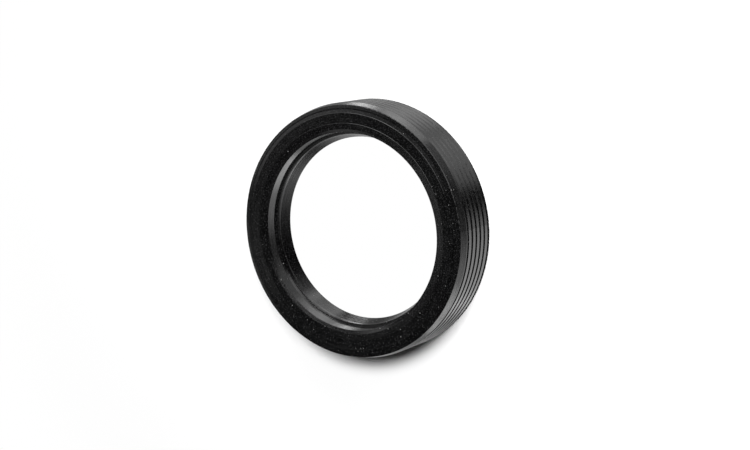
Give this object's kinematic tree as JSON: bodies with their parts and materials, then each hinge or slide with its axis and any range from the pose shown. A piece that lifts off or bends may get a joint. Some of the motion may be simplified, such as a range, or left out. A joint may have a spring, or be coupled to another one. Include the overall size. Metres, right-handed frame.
{
  "type": "radial shaft seal",
  "caption": "Rubber-covered radial shaft seal with a ribbed outside, a stepped front face, a steel case and a spring-loaded sealing lip.",
  "frame": {"origin": "centre of the back (oil side) face, on the seal's axis", "axes": "+Z along the seal's axis, from the back (oil side) face to the front (air side) face; X and Y across the ring, with X midway between two of the small notches in the back edge"},
  "size_m": [0.05, 0.05, 0.011],
  "materials": {
    "rubber": "moulded black nitrile rubber, satin",
    "case_steel": "pressed steel with a grey bonding coat",
    "spring_steel": "drawn spring wire, bright"
  },
  "bodies": {
    "root": {"rubber_body": "rubber", "metal_case": "case_steel", "garter_spring": "spring_steel"}
  },
  "joints": []
}
